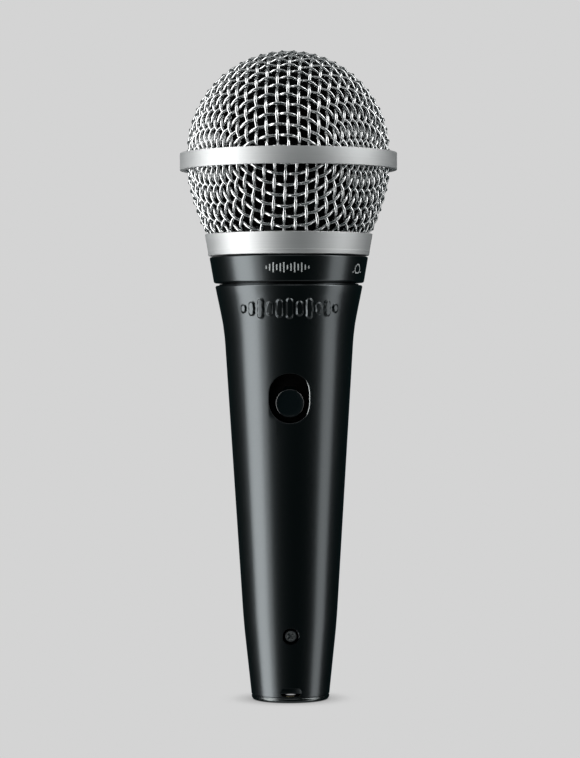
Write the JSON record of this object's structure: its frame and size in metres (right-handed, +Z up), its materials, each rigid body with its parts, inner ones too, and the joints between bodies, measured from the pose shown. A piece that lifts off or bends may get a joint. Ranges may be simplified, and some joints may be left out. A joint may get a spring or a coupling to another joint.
{
  "type": "dynamic microphone",
  "caption": "Handheld dynamic vocal microphone with a woven-wire ball grille, satin equator ring and collar, tapered black handle, recessed slide button and recessed connector in its base.",
  "frame": {"origin": "middle of the connector rim, which the microphone stands on", "axes": "+Z up the handle's axis to the ball grille, -Y out through the on/off button, X to the sides"},
  "size_m": [0.054, 0.054, 0.1613],
  "materials": {
    "black_paint": "satin black metallic paint on die-cast metal",
    "satin_silver": "satin turned and brushed",
    "screen_wire": "plain weave of bright plated steel wire",
    "foam": "open-cell black foam",
    "black_plastic": "moulded black plastic",
    "rubber": "moulded elastomer",
    "steel": "plain steel",
    "magnet": "nickel-plated magnet",
    "copper": "wound enamelled copper wire",
    "film": "thin polymer film",
    "felt": "damping cloth",
    "board": "circuit board",
    "contact": "plated contact metal",
    "wire_red": "red insulation",
    "wire_green": "green insulation",
    "wire_yellow": "yellow insulation",
    "wire_black": "black insulation"
  },
  "bodies": {
    "handle": {"handle_shell": "black_paint", "mount_ring": "black_plastic", "shock_mount": "rubber", "switch_plate": "black_plastic", "switch_case": "steel", "switch_board": "board", "switch_screw_lower": "steel", "switch_screw_upper": "steel", "connector_insert": "black_plastic", "connector_pin_1": "contact", "connector_pin_2": "contact", "connector_pin_3": "contact", "insert_screw": "steel", "ground_spring": "contact", "lead_cartridge_hot": "wire_red", "lead_cartridge_cold": "wire_green", "lead_pin_1": "wire_black", "lead_pin_2": "wire_red", "lead_pin_3": "wire_yellow"},
    "band": {"name_band": "black_paint"},
    "grille": {"dome_screen": "screen_wire", "basket_screen": "screen_wire", "equator_ring": "satin_silver", "grille_collar": "satin_silver", "foam_liner": "foam"},
    "cartridge": {"cartridge_housing": "black_plastic", "front_cap": "black_plastic", "front_cloth": "felt", "rear_cup": "black_plastic", "terminal_board": "board", "terminal_lug_left": "contact", "terminal_lug_right": "contact", "yoke_cup": "steel", "magnet": "magnet", "pole_plate": "steel", "diaphragm_seat": "black_plastic"},
    "moving_coil": {"diaphragm": "film", "voice_coil": "copper"},
    "button": {"switch_knob": "black_plastic", "switch_slider": "black_plastic"}
  },
  "joints": [
    {"name": "switch_slide", "type": "slide", "parent": "handle", "child": "button", "axis": [0, -0.0624, 0.9981], "range_m": [0, 0.0025]},
    {"name": "grille_turn", "type": "hinge", "parent": "handle", "child": "band", "pos_m": [0, 0, 0.1068], "axis": [0, 0, 1], "range_deg": [0, 1170]},
    {"name": "grille_lift", "type": "slide", "parent": "band", "child": "grille", "axis": [0, 0, 1], "range_m": [0, 0.00407]},
    {"name": "cartridge_float", "type": "slide", "parent": "handle", "child": "cartridge", "axis": [0, 0, 1], "range_m": [-0.0005, 0.0005], "stiffness_N_per_m": 2000, "deforming": ["shock_mount"]},
    {"name": "diaphragm_travel", "type": "slide", "parent": "cartridge", "child": "moving_coil", "axis": [0, 0, 1], "range_m": [-0.0003, 0.0003], "stiffness_N_per_m": 200}
  ],
  "couplings": [
    {"joint": "grille_lift", "follows": "grille_turn", "m_per_rad": 0.00019894}
  ]
}
